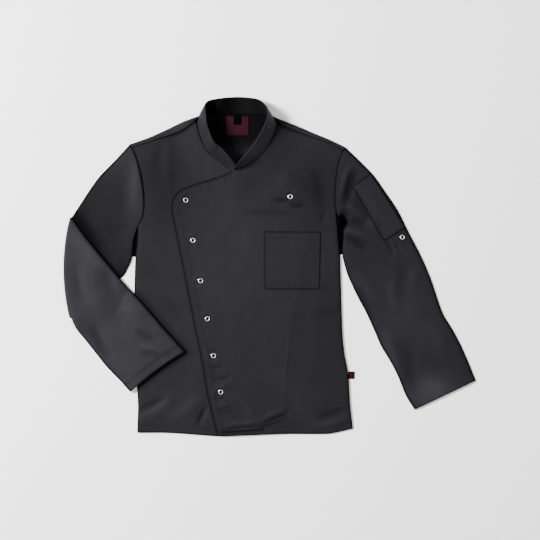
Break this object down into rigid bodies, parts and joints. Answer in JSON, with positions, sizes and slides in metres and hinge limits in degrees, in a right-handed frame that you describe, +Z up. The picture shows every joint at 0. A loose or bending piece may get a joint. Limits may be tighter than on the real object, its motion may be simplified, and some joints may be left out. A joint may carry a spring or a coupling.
{
  "type": "chef jacket",
  "caption": "Black long-sleeved chef jacket laid flat, crossed front with ring press fasteners, stand collar, patch pocket and pen pocket, one sleeve folded at the elbow.",
  "frame": {"origin": "centre of the jacket's outline on the surface that it lies on", "axes": "+X from the wearer's right to the wearer's left, +Y from the hem to the collar, +Z up off the surface"},
  "size_m": [0.9884, 0.813, 0.0432],
  "materials": {
    "cloth": "matt black twill with a faint sheen",
    "snap_metal": "polished nickel plate",
    "label": "woven maroon ribbon, blank"
  },
  "bodies": {
    "root": {"back": "cloth", "front_under": "cloth", "front_over": "cloth", "collar": "cloth", "sleeve_left": "cloth", "sleeve_right": "cloth", "chest_pocket": "cloth", "sleeve_pocket": "cloth", "snap_1": "snap_metal", "snap_2": "snap_metal", "snap_3": "snap_metal", "snap_4": "snap_metal", "snap_5": "snap_metal", "snap_6": "snap_metal", "snap_chest": "snap_metal", "snap_sleeve": "snap_metal", "neck_label": "label", "size_tab": "cloth", "side_label": "label"}
  },
  "joints": []
}
